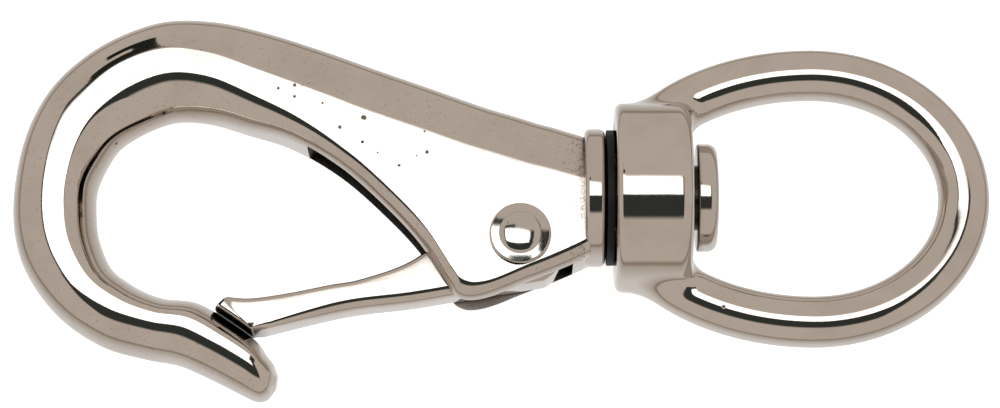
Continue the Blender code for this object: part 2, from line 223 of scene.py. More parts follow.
def makeTurnedStainless(name, axis, centre, lineSpacing):
    # Bar turned on a lathe and buffed: faint rings round its axis, lineSpacing mm apart.
    mat, tree, shader = startMaterial(name, {"Metallic": 1.0})
    # Painted shade darkens the colour in the crevices.
    creviceShadedColour = addPaintedCreviceShade(tree, hexToLinear("#d0cac4"), castStainless)
    tree.links.new(creviceShadedColour, shader.inputs["Base Color"])
    place = addNode(tree, "ShaderNodeTexCoord").outputs["Object"]
    moved = addNode(tree, "ShaderNodeMapping", {"Vector": place, "Location": tuple(-c for c in centre)})
    rings = addNode(tree, "ShaderNodeTexWave", {"Vector": moved.outputs[0],
                                                "Scale": 1 / (lineSpacing * mm) / 20,
                                                "Distortion": 0.6, "Detail": 1.0, "Detail Scale": 400.0},
                    wave_type="RINGS", rings_direction=axis)
    haze = addNode(tree, "ShaderNodeTexNoise", {"Vector": place, "Scale": 1 / (1.3 * mm), "Detail": 4.0})
    rough = addNode(tree, "ShaderNodeMapRange", {"Value": haze.outputs["Fac"], "From Min": 0.35,
                                                 "From Max": 0.75, "To Min": 0.05, "To Max": 0.10})
    tree.links.new(rough.outputs[0], shader.inputs["Roughness"])
    bump = addNode(tree, "ShaderNodeBump", {"Height": rings.outputs["Fac"], "Strength": 1.0,
                                            "Distance": 0.0010 * mm})
    tree.links.new(bump.outputs[0], shader.inputs["Normal"])
    return mat


def makeShadedRoughCast(name, colour):
    # The casting as it leaves the shell: rough, with a grain, in a dark grey that is painted shade, and
    # lighter as painted light where it lies open.
    mat, tree, shader = startMaterial(name, {"Metallic": 1.0, "Roughness": 0.35})
    place = addNode(tree, "ShaderNodeTexCoord").outputs["Object"]
    grain = addNode(tree, "ShaderNodeTexNoise", {"Vector": place, "Scale": 1 / (0.3 * mm), "Detail": 4.0})
    tone = addNode(tree, "ShaderNodeMix", {"Factor": grain.outputs["Fac"], 6: hexToLinear(colour),
                                           7: hexToLinear("#2a2b26")}, data_type="RGBA")
    # Painted light: lighter where the place lies open and towards low y; deep inside, the dark colour stays
    # as painted shade.
    aoOpenness = addNode(tree, "ShaderNodeAmbientOcclusion", {"Distance": 5.0 * mm}, samples=8)
    mouth = addNode(tree, "ShaderNodeMapRange", {"Value": aoOpenness.outputs["AO"], "From Min": 0.38,
                                                 "From Max": 0.55})
    part = addNode(tree, "ShaderNodeSeparateXYZ", {"Vector": place})
    under = addNode(tree, "ShaderNodeMapRange", {"Value": part.outputs["Y"], "From Min": pivot.y - 4.4 * mm,
                                                 "From Max": pivot.y - 2.8 * mm, "To Min": 1.0,
                                                 "To Max": 0.0})
    paintedLightShare = addNode(tree, "ShaderNodeMath", {0: mouth.outputs[0], 1: under.outputs[0]}, operation="MULTIPLY")
    skin = addNode(tree, "ShaderNodeMix", {"Factor": paintedLightShare.outputs[0], 6: tone.outputs[2],
                                           7: hexToLinear("#d0c9c2")}, data_type="RGBA")
    tree.links.new(skin.outputs[2], shader.inputs["Base Color"])
    bump = addNode(tree, "ShaderNodeBump", {"Height": grain.outputs["Fac"], "Distance": 0.02 * mm})
    tree.links.new(bump.outputs[0], shader.inputs["Normal"])
    return mat


def makeSpringWire():
    # Hard-drawn 302 wire: greyer and duller than the castings, with die lines along it.
    mat, tree, shader = startMaterial("drawnSpringWire", {"Metallic": 1.0})
    place = addNode(tree, "ShaderNodeTexCoord").outputs["Object"]
    lines = addNode(tree, "ShaderNodeTexNoise", {"Vector": place, "Scale": 1 / (0.25 * mm), "Detail": 3.0})
    tone = addNode(tree, "ShaderNodeMix", {"Factor": lines.outputs["Fac"], 6: hexToLinear("#a7a39d"),
                                           7: hexToLinear("#8b867f")}, data_type="RGBA")
    tree.links.new(tone.outputs[2], shader.inputs["Base Color"])
    rough = addNode(tree, "ShaderNodeMapRange", {"Value": lines.outputs["Fac"], "To Min": 0.2,
                                                 "To Max": 0.42})
    tree.links.new(rough.outputs[0], shader.inputs["Roughness"])
    return mat


def makeBlackAcetal():
    # Acetal sheet, punched: dark, a little waxy, with fine cut marks.
    mat, tree, shader = startMaterial("blackAcetal", {"IOR": 1.48, "Specular IOR Level": 0.25})
    place = addNode(tree, "ShaderNodeTexCoord").outputs["Object"]
    marks = addNode(tree, "ShaderNodeTexNoise", {"Vector": place, "Scale": 1 / (0.3 * mm), "Detail": 4.0})
    tone = addNode(tree, "ShaderNodeMix", {"Factor": marks.outputs["Fac"], 6: hexToLinear("#0b0c0b"),
                                           7: hexToLinear("#151614")}, data_type="RGBA")
    tree.links.new(tone.outputs[2], shader.inputs["Base Color"])
    rough = addNode(tree, "ShaderNodeMapRange", {"Value": marks.outputs["Fac"], "To Min": 0.42,
                                                 "To Max": 0.62})
    tree.links.new(rough.outputs[0], shader.inputs["Roughness"])
    bump = addNode(tree, "ShaderNodeBump", {"Height": marks.outputs["Fac"], "Distance": 0.004 * mm})
    tree.links.new(bump.outputs[0], shader.inputs["Normal"])
    return mat


def meshObject(name, verts, faces, mat):
    mesh = bpy.data.meshes.new(name)
    mesh.from_pydata([tuple(v) for v in verts], [], faces)
    bm = bmesh.new()
    bm.from_mesh(mesh)
    bmesh.ops.recalc_face_normals(bm, faces=bm.faces)
    bm.to_mesh(mesh)
    bm.free()
    mesh.materials.append(mat)
    obj = bpy.data.objects.new(name, mesh)
    bpy.context.scene.collection.objects.link(obj)
    return obj


def skinRings(name, rings, mat, closed=False):
    # A skin over a row of closed rings of equal length, with both ends capped unless the row is closed.
    count = len(rings[0])
    verts = [p for ring in rings for p in ring]
    faces = []
    last = len(rings) if closed else len(rings) - 1
    for i in range(last):
        a = i * count
        b = ((i + 1) % len(rings)) * count
        faces += [(a + k, a + (k + 1) % count, b + (k + 1) % count, b + k) for k in range(count)]
    if not closed:
        faces.append(tuple(range(count)))
        faces.append(tuple(range((len(rings) - 1) * count, len(rings) * count)))
    return meshObject(name, verts, faces, mat)


def turnProfile(name, profile, steps, mat, axis="X", centre=(0.0, 0.0)):
    # A profile of (place along the axis, radius) turned round the axis; radius 0 is a pole.
    verts = []
    rows = []
    for s, r in profile:
        row = []
        for k in range(steps if r > 0 else 1):
            a = 2 * math.pi * k / steps
            u = r * math.cos(a)
            v = r * math.sin(a)
            row.append(len(verts))
            verts.append((s, centre[0] + u, centre[1] + v) if axis == "X"
                         else (centre[0] + u, centre[1] + v, s))
        rows.append(row)
    pairs = list(zip(rows, rows[1:]))
    if profile[0][1] > 0:
        pairs.append((rows[-1], rows[0]))
    faces = []
    for a, b in pairs:
        for k in range(steps):
            corners = [a[k % len(a)], a[(k + 1) % len(a)], b[(k + 1) % len(b)], b[k % len(b)]]
            corners = list(dict.fromkeys(corners))
            if len(corners) > 2:
                faces.append(tuple(corners))
    return meshObject(name, verts, faces, mat)


def arcPoints(s, r, radius, start, end, steps):
    # Points on an arc round (s, r), from one angle to another in degrees.
    points = []
    for k in range(steps + 1):
        a = math.radians(start + (end - start) * k / steps)
        points.append((s + radius * math.cos(a), r + radius * math.sin(a)))
    return points


def drillProfile(start, end, radius):
    # What a drill of this radius in mm takes out between two places.
    return [(start, 0.0), (start, radius * mm), (end, radius * mm), (end, 0.0)]


def splitRun(a, b, step):
    # Points from a to b, not counting a, no more than a step apart.
    count = max(1, math.ceil(math.dist(a, b) / step))
    return [tuple(p + (q - p) * k / count for p, q in zip(a, b)) for k in range(1, count + 1)]


def addBoolean(obj, other, operation):
    mod = obj.modifiers.new(other.name, "BOOLEAN")
    mod.operation = operation
    mod.object = other
    mod.material_mode = "TRANSFER"


def freeze(obj, sharpAngle):
    # Applies the modifiers, and removes the shapes that they used.
    helpers = [m.object for m in obj.modifiers if m.type == "BOOLEAN"]
    graph = bpy.context.evaluated_depsgraph_get()
    mesh = bpy.data.meshes.new_from_object(obj.evaluated_get(graph))
    obj.modifiers.clear()
    obj.data = mesh
    for helper in helpers:
        bpy.data.objects.remove(helper, do_unlink=True)
    mesh.shade_smooth()
    mesh.set_sharp_from_angle(angle=math.radians(sharpAngle))
    mesh.name = obj.name
    return obj


def smoothRow(rows, t):
    # The row at t along rows, on a smooth curve through all of them.
    last = len(rows) - 1
    i = min(int(t), last - 1)
    f = t - i
    p0 = rows[max(i - 1, 0)]
    p1 = rows[i]
    p2 = rows[i + 1]
    p3 = rows[min(i + 2, last)]
    return [b + 0.5 * f * (c - a + f * (2 * a - 5 * b + 4 * c - d + f * (3 * (b - c) + d - a)))
            for a, b, c, d in zip(p0, p1, p2, p3)]


hook = {                       # mm, unless a note says otherwise
    "length": 52.90,           # collar's back face to the end of the bow
    "rise": 17.05,             # swivel axis to the top of the bow
    "collarThickness": 1.9,
    "collarRound": 0.5,
    "flank": 4.7,              # how far the rounded back reaches in
    "webRound": 1.7,
    "innerPower": 1.5,         # shape of the inner rounding: 2 is an ellipse, less is nearer to a bevel
    "webPower": 0.3,           # and how much more of that on the web
    "innerShare": 0.34,        # the inner rounding's share of the width
    "innerSwell": 0.09,        # and how much more of it at the top of the bow
    "swellFrom": 11,           # section where that starts
    "swellOver": 10,           # sections
    "innerLip": 0.2,           # what is left of the bow's thickness at its inner edge
    "slotWidth": 5.2,
    "rootWall": 1.1,
    "cavityRoof": 2.8,         # swivel axis to the roof over the spring
    "roofLow": (-6.5, 4.8),    # from the rivet to where the roof starts to fall
    "roofHigh": -2.8,          # from the rivet, along the axis, to where it is level
    "rivetHole": 1.65,
    "tenonHole": 1.85,
    "slotSection": 18.45,      # section where the slot for the open gate starts
    "cornerSection": 23,
    "tipSection": 3.80,        # where the gate's end meets the point
    "noseRound": 0.12,
    "noseSteps": 5,
    "ringsPerSection": 9,
    "arcSteps": 18,
}

# Sections from the nose round the bow to the collar: the back's x as a share of the length behind the
# collar, its y as a share of the rise, heading to the inner edge in degrees, width and half thickness
# in mm, the share of the flat web against the bow's oval, and the rounded back's share of the width.
hookSections = (
    (0.5390, -1.067, 81.0, 1.62, 1.3, 0.0, 0.58),
    (0.5525, -1.114, 79.0, 3.36, 2.4, 0.0, 0.58),
    (0.5715, -1.120, 76.7, 4.35, 3.0, 0.0, 0.58),
    (0.6040, -1.072, 69.5, 5.05, 3.4, 0.0, 0.58),
    (0.6574, -0.989, 67.1, 5.54, 3.7, 0.0, 0.58),
    (0.7066, -0.924, 74.0, 6.03, 3.8, 0.0, 0.58),
    (0.7624, -0.891, 77.6, 5.84, 3.9, 0.0, 0.58),
    (0.8400, -0.821, 63.6, 6.30, 4.0, 0.0, 0.56),
    (0.9158, -0.663, 43.0, 6.58, 4.0, 0.0, 0.54),
    (0.9725, -0.434, 24.0, 7.30, 4.0, 0.0, 0.52),
    (0.9981, -0.188, 10.0, 7.70, 4.0, 0.0, 0.50),
    (0.9981, 0.094, -5.4, 7.72, 4.0, 0.0, 0.49),
    (0.9763, 0.393, -26.3, 8.30, 4.0, 0.0, 0.45),
    (0.9290, 0.645, -45.0, 8.77, 4.1, 0.0, 0.40),
    (0.8495, 0.850, -64.5, 9.30, 4.1, 0.0, 0.35),
    (0.7492, 0.977, -81.6, 9.60, 4.1, 0.04, 0.355),
    (0.6526, 0.982, -93.0, 9.61, 4.1, 0.16, 0.40),
    (0.5608, 0.921, -99.9, 9.64, 4.1, 0.42, 0.455),
    (0.4605, 0.821, -108.2, 9.42, 4.1, 0.76, 0.485),
    (0.3593, 0.707, -110.7, 10.30, 4.1, 1.0, 0.46),
    (0.2552, 0.592, -111.9, 12.56, 4.1, 1.0, 0.43),
    (0.1738, 0.501, -113.2, 14.80, 4.1, 1.0, 0.43),
    (0.1240, 0.454, -110.7, 17.45, 4.1, 1.0, 0.43),
    (0.1010, 0.431, -109.8, 18.35, 4.1, 1.0, 0.43),
    (0.0760, 0.407, -108.0, 17.85, 4.1, 1.0, 0.43),
    (0.0480, 0.383, -100.2, 15.20, 4.1, 1.0, 0.43),
    (-0.0080, 0.328, -90.0, 11.60, 4.1, 1.0, 0.43),
)
collarBack = collarFront - hook["collarThickness"] * mm
collarRadius = washerHigh.y + 0.1 * mm
cavityEnd = collarBack - hook["rootWall"] * mm


def hookFrame(t):
    # The section at t: a point on the back, the way across, and its measures in metres.
    x, y, heading, width, half, web, ridge = smoothRow(hookSections, t)
    back = Vector((collarBack - x * hook["length"] * mm, y * hook["rise"] * mm))
    a = math.radians(heading)
    return back, Vector((math.cos(a), math.sin(a))), width * mm, half * mm, min(max(web, 0.0), 1.0), ridge


def innerPoint(t):
    back, across, width = hookFrame(t)[:3]
    return back + across * width


def hookRing(t):
    # One section: rounded back, two flats, and an inner edge that goes from oval to a small round.
    back, across, width, half, web, ridge = hookFrame(t)
    steps = hook["arcSteps"]
    backRound = min(hook["flank"] * mm, ridge * width)
    swell = math.sin(math.pi * min(max((t - hook["swellFrom"]) / hook["swellOver"], 0.0), 1.0))
    innerShare = hook["innerShare"] + hook["innerSwell"] * swell
    innerRound = innerShare * width * (1 - web) + hook["webRound"] * mm * web
    innerDepth = (half - hook["innerLip"] * mm) * (1 - web) + hook["webRound"] * mm * web
    outline = []
    for k in range(-steps, steps + 1):
        a = math.radians(90 * k / steps)
        outline.append((backRound * (1 - math.cos(a)), half * math.sin(a)))
    flat = width - innerRound - backRound
    shares = (0.03, 0.12, 0.3, 0.5, 0.7, 0.88, 0.97)
    outline += [(backRound + flat * share, half) for share in shares]
    power = 2 / (hook["innerPower"] + hook["webPower"] * web)
    inner = []
    for k in range(steps + 1):
        a = math.radians(90 * k / steps)
        inner.append((width - innerRound * (1 - math.sin(a) ** power),
                      half - innerDepth * (1 - max(math.cos(a), 0.0) ** power)))
    outline += inner
    outline += [(s, -z) for s, z in reversed(inner)]
    outline += [(backRound + flat * share, -half) for share in reversed(shares)]
    return [(back.x + across.x * s, back.y + across.y * s, z) for s, z in outline]


def roofLine():
    # Both ends of the falling part of the cavity's roof, where the spring's leg lies.
    low = pivot + Vector(hook["roofLow"]) * mm
    return low, Vector((pivot.x + hook["roofHigh"] * mm, hook["cavityRoof"] * mm))


def middleOf(ring):
    return [sum(p[i] for p in ring) / len(ring) for i in range(3)]


def makeHook(mat, cavityShadeMat):
    count = (len(hookSections) - 1) * hook["ringsPerSection"]
    rings = [hookRing(k / hook["ringsPerSection"]) for k in range(count + 1)]
    first = rings[0]
    centre = middleOf(first)
    ahead = (Vector(centre) - Vector(middleOf(rings[2]))).normalized()
    for k in range(1, hook["noseSteps"] + 1):
        a = math.radians(80 * k / hook["noseSteps"])
        move = ahead * hook["noseRound"] * mm * math.sin(a)
        rings.insert(0, [tuple(c + (p[i] - c) * math.cos(a) + move[i] for i, c in enumerate(centre))
                         for p in first])
    body = skinRings("cast_hook", rings, mat)
    roundOff = hook["collarRound"] * mm
    profile = [(collarBack, 0.0), (collarBack, collarRadius * 0.9)]
    profile += arcPoints(collarBack + roundOff, collarRadius - roundOff, roundOff, 180, 90, 8)
    profile += arcPoints(collarFront - roundOff, collarRadius - roundOff, roundOff, 90, 0, 8)
    profile += [(collarFront, collarRadius * 0.9), (collarFront, 0.0)]
    addBoolean(body, turnProfile("collarShape", profile, 144, mat), "UNION")
    start = innerPoint(hook["slotSection"])
    corner = innerPoint(hook["cornerSection"])
    roofLow, roofHigh = roofLine()
    outline = [
        start + Vector((-1.2, -0.6)) * mm,     # the slot's front edge, cut at a slant
        start + Vector((-0.2, 0.4)) * mm,
        start + Vector((0.8, 0.9)) * mm,
        roofLow,
        roofHigh,
        Vector((cavityEnd, roofHigh.y)),
        Vector((cavityEnd, corner.y - 2 * mm)),
        Vector((corner.x - 4 * mm, corner.y - 2 * mm)),
    ]
    half = hook["slotWidth"] * mm / 2
    # The cavity's walls take the dark finish: painted shade.
    cut = skinRings("cavityShape", [[(p.x, p.y, z) for p in outline] for z in (-half, half)], cavityShadeMat)
    addBoolean(body, cut, "DIFFERENCE")
    reach = hook["rise"] * mm
    hole = drillProfile(-reach, reach, hook["rivetHole"])
    addBoolean(body, turnProfile("rivetHoleShape", hole, 64, mat, "Z", pivot), "DIFFERENCE")
    bore = drillProfile(cavityEnd - mm, collarFront + mm, hook["tenonHole"])
    addBoolean(body, turnProfile("tenonHoleShape", bore, 64, mat), "DIFFERENCE")
    return freeze(body, 32)


gate = {                       # mm
    "endGap": 0.06,            # between the gate's end and the hook's point
    "rootRadius": 3.4,
    "edgeRound": 0.45,
    "cornerRound": 0.5,
    "endSteps": 6,             # stretches between the two rounded corners of the end
    "endBelly": 0.45,          # how far the gate's end bulges at half its thickness
    "heel": 1.1,               # how far the root bulges under the cheeks
    "lowerRound": 1.15,
    "hole": 1.65,
    "coilRoom": 2.675,         # rivet to the wall of the spring's groove
    "legRoom": 7.5,            # rivet to the end of the groove for the spring's leg
    "grooveWidth": 2.5,
    "stepsPerPoint": 8,
    "rootSteps": 40,
    "edgeSteps": 8,
}

# Upper and lower edge: share of the reach from rivet to point, and mm across it towards the inside.
gateTop = ((0.0, 3.40), (0.20, 2.5), (0.38, 0.87), (0.552, 0.61), (0.663, 0.94), (0.80, 1.29),
           (0.9375, 1.90), (1.0430, 3.15))
gateBottom = ((0.248, -3.45), (0.42, -2.86), (0.637, -1.88), (0.947, -1.32))


def gateLine():
    # The way from the rivet to the hook's point, and how far it is.
    reach = innerPoint(hook["tipSection"]) - pivot
    return reach.normalized(), reach.length


def gatePoint(share, offset):
    along, length = gateLine()
    inward = Vector((along.y, -along.x))
    return pivot + along * (length * share) + inward * (offset * mm)


def roundCorner(before, corner, after, radius, steps=8):
    # An arc in place of the corner.
    into = (before - corner).normalized()
    out = (after - corner).normalized()
    half = into.angle(out) / 2
    run = min(radius / math.tan(half), (before - corner).length, (after - corner).length)
    middle = corner + (into + out).normalized() * run / math.cos(half)
    first = corner + into * run - middle
    last = corner + out * run - middle
    turn = math.atan2(first.cross(last), first.dot(last))
    points = []
    for k in range(steps + 1):
        a = turn * k / steps
        points.append(middle + Vector((first.x * math.cos(a) - first.y * math.sin(a),
                                       first.x * math.sin(a) + first.y * math.cos(a))))
    return points


def makeGate(mat, endShadeMat):
    along, length = gateLine()
    point = innerPoint(hook["tipSection"])
    flankLine = (innerPoint(hook["tipSection"] - 0.4) - innerPoint(hook["tipSection"] + 0.4)).normalized()
    off = Vector((flankLine.y, -flankLine.x))
    if off.dot(pivot - point) < 0:
        off = -off
    stop = point + off * gate["endGap"] * mm

    def meetStop(place, onlyBack):
        # Slides a place along the gate to the line of the hook's inner flank.
        slide = (stop - place).dot(off) / along.dot(off)
        return place + along * (min(slide, 0.0) if onlyBack else slide)

    def edge(rows):
        count = (len(rows) - 1) * gate["stepsPerPoint"]
        return [gatePoint(*smoothRow(rows, k / gate["stepsPerPoint"])) for k in range(count + 1)]

    outline = edge(gateTop)[1:-1]
    tip = meetStop(gatePoint(*gateTop[-1]), True)
    lower = edge(gateBottom)
    heel = meetStop(lower[-1], False)
    lower = lower[-2::-1]
    while (outline[-1] - tip).length < 1.4 * gate["cornerRound"] * mm:
        outline.pop()
    while (lower[0] - heel).length < 1.4 * gate["cornerRound"] * mm:
        lower.pop(0)
    endArc = roundCorner(outline[-1], tip, heel, gate["cornerRound"] * mm)
    heelArc = roundCorner(tip, heel, lower[0], gate["cornerRound"] * mm)
    endStart = len(outline) - 1
    outline += endArc
    outline += [endArc[-1].lerp(heelArc[0], k / gate["endSteps"]) for k in range(1, gate["endSteps"])]
    outline += heelArc
    endCount = len(outline) - endStart
    rounds = [gate["edgeRound"]] * endStart + [gate["endBelly"]] * endCount
    drops = [gate["edgeRound"]] * endStart + [gateHigh.z / mm] * endCount
    flank = [innerPoint(hook["tipSection"] - 1.5 + k / 60) for k in range(241)]
    for k in range(2, endCount - 2):
        # Draws the end onto the hook's flank, less so towards its two corners.
        share = min(1.0, (k - 1) / 8, (endCount - 2 - k) / 7)
        for step in range(3):
            place = outline[endStart + k]
            gap = min((place - other).length for other in flank) - gate["endGap"] * mm
            outline[endStart + k] = place - off * gap * share * 0.8
    outline += lower
    rounds += [gate["edgeRound"] + (gate["lowerRound"] - gate["edgeRound"]) * min(1.0, (k + 1) / 7)
               for k in range(len(lower))]
    below = math.atan2(along.x, -along.y)
    for k in range(gate["rootSteps"] + 1):
        a = below + math.radians(12 + 168 * k / gate["rootSteps"])
        fade = min(max((k - 6) / 18, 0.0), 1.0)    # the bulge under the cheeks fades out round the root
        reach = gate["rootRadius"] + gate["heel"] * (1 - fade * fade * (3 - 2 * fade))
        outline.append(pivot + reach * mm * Vector((math.cos(a), math.sin(a))))
        rounds.append(gate["edgeRound"])
    half = gateHigh.z
    count = len(outline)
    for step in range(3):                      # evens out how wide the edges are rounded
        rounds = [(rounds[i - 1] + rounds[i] + rounds[(i + 1) % count]) / 3 for i in range(count)]
        drops[len(drops):] = rounds[len(drops):]
    drops += rounds[len(drops):]
    inward = []
    turn = 1 if sum(a.cross(b) for a, b in zip(outline, outline[1:] + outline[:1])) > 0 else -1
    for i in range(count):
        run = (outline[(i + 1) % count] - outline[i - 1]).normalized()
        inward.append(Vector((-run.y, run.x)) * turn)
    rings = []
    steps = gate["edgeSteps"]
    for side in (-1, 1):
        for k in range(steps + 1):
            a = math.radians(90 * k / steps if side > 0 else 90 - 90 * k / steps)
            rings.append([(*(p + n * r * mm * (1 - math.cos(a))), side * (half - d * mm * (1 - math.sin(a))))
                          for p, n, r, d in zip(outline, inward, rounds, drops)])
    body = skinRings("cast_gate", rings, mat)
    room = gate["coilRoom"]
    leg = gate["legRoom"] * mm / length
    groove = [gatePoint(leg, -room), gatePoint(leg, 8.0), gatePoint(-0.2, 8.0), gatePoint(-0.2, -room)]
    grooveHalf = gate["grooveWidth"] * mm / 2
    cut = skinRings("grooveShape", [[(p.x, p.y, z) for p in groove] for z in (-grooveHalf, grooveHalf)], mat)
    addBoolean(body, cut, "DIFFERENCE")
    hole = drillProfile(-2 * half, 2 * half, gate["hole"])
    addBoolean(body, turnProfile("gateHoleShape", hole, 64, mat, "Z", pivot), "DIFFERENCE")
    freeze(body, 32)
    body.data.materials.append(endShadeMat)
    for face in body.data.polygons:            # the end's face takes the dark finish: painted shade between the gate's end and the point
        if face.normal.xy.dot(off) < -0.25 and abs((face.center.xy - stop).dot(off)) < 0.5 * mm:
            face.material_index = len(body.data.materials) - 1
    return body


rivet = {                      # mm
    "radius": 1.5,
    "seat": 4.4,               # middle of the hook to the underside of a head
    "flange": 2.8,
    "flangeEdge": 0.32,        # height of the flange at its rim
    "domeRadius": 1.95,
    "flangeRound": 0.16,
    "domeFoot": 0.52,          # height where the dome meets the flange
    "domeSteps": 18,
}


def makeRivet(mat):
    # A shop head and a set head, the same on both sides: a low dome on a thin flange.
    base = rivet["seat"]
    foot = base + rivet["domeFoot"]
    edge = base + rivet["flangeEdge"]
    roundOff = rivet["flangeRound"]
    half = []
    for k in range(rivet["domeSteps"] + 1):
        a = math.radians(90 * k / rivet["domeSteps"])
        half.append((foot + (rivetHigh.z / mm - foot) * math.cos(a),
                     rivet["domeRadius"] * math.sin(a) if k else 0.0))
    half += [(edge + 0.14, rivet["flange"] - 0.45)]    # the flange slopes down to its rim
    half += arcPoints(edge - 0.08, rivet["flange"] - roundOff, roundOff, 0, 90, 5)
    half += [(base, rivet["flange"]), (base, rivet["radius"])]
    profile = [(s * mm, r * mm) for s, r in half]
    profile += [(-s, r) for s, r in reversed(profile)]
    body = turnProfile("gate_rivet_heads", profile, 96, mat, "Z", pivot)
    return freeze(body, 40)


spring = {                     # mm
    "wireRadius": 0.275,
    "coilRadius": 2.1,         # to the middle of the wire
    "pitch": 0.7,
    "roofGap": 0.3,            # between the cavity's roof and the leg under it
    "roofShare": 0.3,          # where along the falling roof that leg ends
    "wholeTurns": 2,
    "gateLeg": 7.0,
    "sides": 14,
    "pointsPerTurn": 48,
}


def sweepTree():
    # Geometry Nodes: a round section along a path, with a finish.
    tree = bpy.data.node_groups.new("sweepRoundBar", "GeometryNodeTree")
    tree.interface.new_socket("Path", in_out="INPUT", socket_type="NodeSocketGeometry")
    tree.interface.new_socket("Bar Radius", in_out="INPUT", socket_type="NodeSocketFloat")
    tree.interface.new_socket("Sides", in_out="INPUT", socket_type="NodeSocketInt")
    tree.interface.new_socket("Finish", in_out="INPUT", socket_type="NodeSocketMaterial")
    tree.interface.new_socket("Bar", in_out="OUTPUT", socket_type="NodeSocketGeometry")
    given = addNode(tree, "NodeGroupInput")
    section = addNode(tree, "GeometryNodeCurvePrimitiveCircle", {"Resolution": given.outputs["Sides"],
                                                                  "Radius": given.outputs["Bar Radius"]})
    swept = addNode(tree, "GeometryNodeCurveToMesh", {"Curve": given.outputs["Path"],
                                                      "Profile Curve": section.outputs["Curve"],
                                                      "Fill Caps": True})
    smooth = addNode(tree, "GeometryNodeSetShadeSmooth", {0: swept.outputs[0], "Shade Smooth": True})
    real = addNode(tree, "GeometryNodeRealizeInstances", {0: smooth.outputs[0]})
    done = addNode(tree, "GeometryNodeSetMaterial", {0: real.outputs[0], "Material": given.outputs["Finish"]})
    addNode(tree, "NodeGroupOutput", {0: done.outputs[0]})
    return tree


barTree = sweepTree()


def sweepBar(name, path, radius, sides, mat):
    # The swept bar as a plain mesh.
    curve = bpy.data.curves.new(name + "Path", "CURVE")
    curve.dimensions = "3D"
    line = curve.splines.new("POLY")
    line.points.add(len(path) - 1)
    for point, place in zip(line.points, path):
        point.co = (*place, 1.0)
    source = bpy.data.objects.new(name + "Path", curve)
    bpy.context.scene.collection.objects.link(source)
    mod = source.modifiers.new("sweep", "NODES")
    mod.node_group = barTree
    sockets = {item.name: item.identifier for item in barTree.interface.items_tree}
    mod[sockets["Bar Radius"]] = radius
    mod[sockets["Sides"]] = sides
    mod[sockets["Finish"]] = mat
    graph = bpy.context.evaluated_depsgraph_get()
    mesh = bpy.data.meshes.new_from_object(source.evaluated_get(graph))
    source.modifiers.clear()
    bpy.data.objects.remove(source, do_unlink=True)
    mesh.name = name
    obj = bpy.data.objects.new(name, mesh)
    bpy.context.scene.collection.objects.link(obj)
    return obj


def makeSpring(mat):
    # One wire: a leg along the gate, a coil round the rivet and a leg up to the roof.
    along = gateLine()[0]
    roofLow, roofHigh = roofLine()
    lift = (spring["wireRadius"] + spring["roofGap"]) * mm
    rest = roofLow.lerp(roofHigh, spring["roofShare"]) - pivot - Vector((0, lift))
    coil = spring["coilRadius"] * mm
    legAngle = math.atan2(rest.y, rest.x) + math.asin(coil / rest.length)
    roofLeg = math.sqrt(rest.length_squared - coil ** 2)
    first = math.atan2(along.y, along.x) + math.pi / 2
    sweep = (legAngle - math.pi / 2 - first) % (2 * math.pi) + 2 * math.pi * spring["wholeTurns"]
    rise = spring["pitch"] * mm * sweep / (2 * math.pi)
    count = round(spring["pointsPerTurn"] * sweep / (2 * math.pi))
    path = []
    for k in range(count + 1):
        a = first + sweep * k / count
        path.append(Vector((pivot.x + coil * math.cos(a), pivot.y + coil * math.sin(a),
                            rise * (k / count - 0.5))))
    gateEnd = path[0] + along.to_3d() * spring["gateLeg"] * mm
    roofEnd = path[-1] + Vector((math.cos(legAngle), math.sin(legAngle), 0)) * roofLeg
    wire = [gateEnd] + path + [roofEnd]
    return sweepBar("torsion_spring", wire, spring["wireRadius"] * mm, spring["sides"], mat), rise


eye = {                        # mm, unless a note says otherwise
    "barRadius": 2.38,
    "reach": 14.10,            # origin to the bar's centre line at the far end
    "shoulder": 18.0,          # half length of the ellipse that the arms follow to the hub
    "armDepth": 0.62,          # how deep the arms run into the hub, as a share of its length
    "hubLength": 7.0,
    "hubRound": 0.7,
    "hubFrontRound": 1.2,
    "bore": 3.15,
    "faceStart": 3.4,          # radius where the fine steps of the hub's faces begin
    "backStep": 0.4,
    "sideStep": 0.25,
    "frontStep": 0.3,
    "fillet": 1.3,             # size of the blend between bar and hub
    "barRings": 340,
    "barSides": 56,
    "hubSteps": 200,
}


def eyePath(count):
    # The bar's middle line: half an ellipse round the far end, and a longer one for the arms.
    halfHeight = eyeHigh.y - eye["barRadius"] * mm
    hubFront = hubBack + eye["hubLength"] * mm
    inside = math.acos((hubFront - eye["armDepth"] * eye["hubLength"] * mm) / (eye["shoulder"] * mm))
    path = []
    for k in range(count + 1):
        a = inside * (1 - 2 * k / count)
        reach = eye["reach"] if math.cos(a) > 0 else eye["shoulder"]
        path.append(Vector((reach * mm * math.cos(a), halfHeight * math.sin(a), 0)))
    return path


def distanceToPath(points, path):
    # Distance from each point to the nearest stretch of the path, and the direction away from it.
    best = np.full(len(points), 1e9)
    away = np.zeros_like(points)
    for a, b in zip(path, path[1:]):
        run = b - a
        share = np.clip(((points - a) @ run) / (run @ run), 0, 1)
        gap = points - (a + share[:, None] * run)
        length = np.linalg.norm(gap, axis=1)
        closer = length < best
        best[closer] = length[closer]
        away[closer] = gap[closer] / np.maximum(length[closer], 1e-12)[:, None]
    return best, away


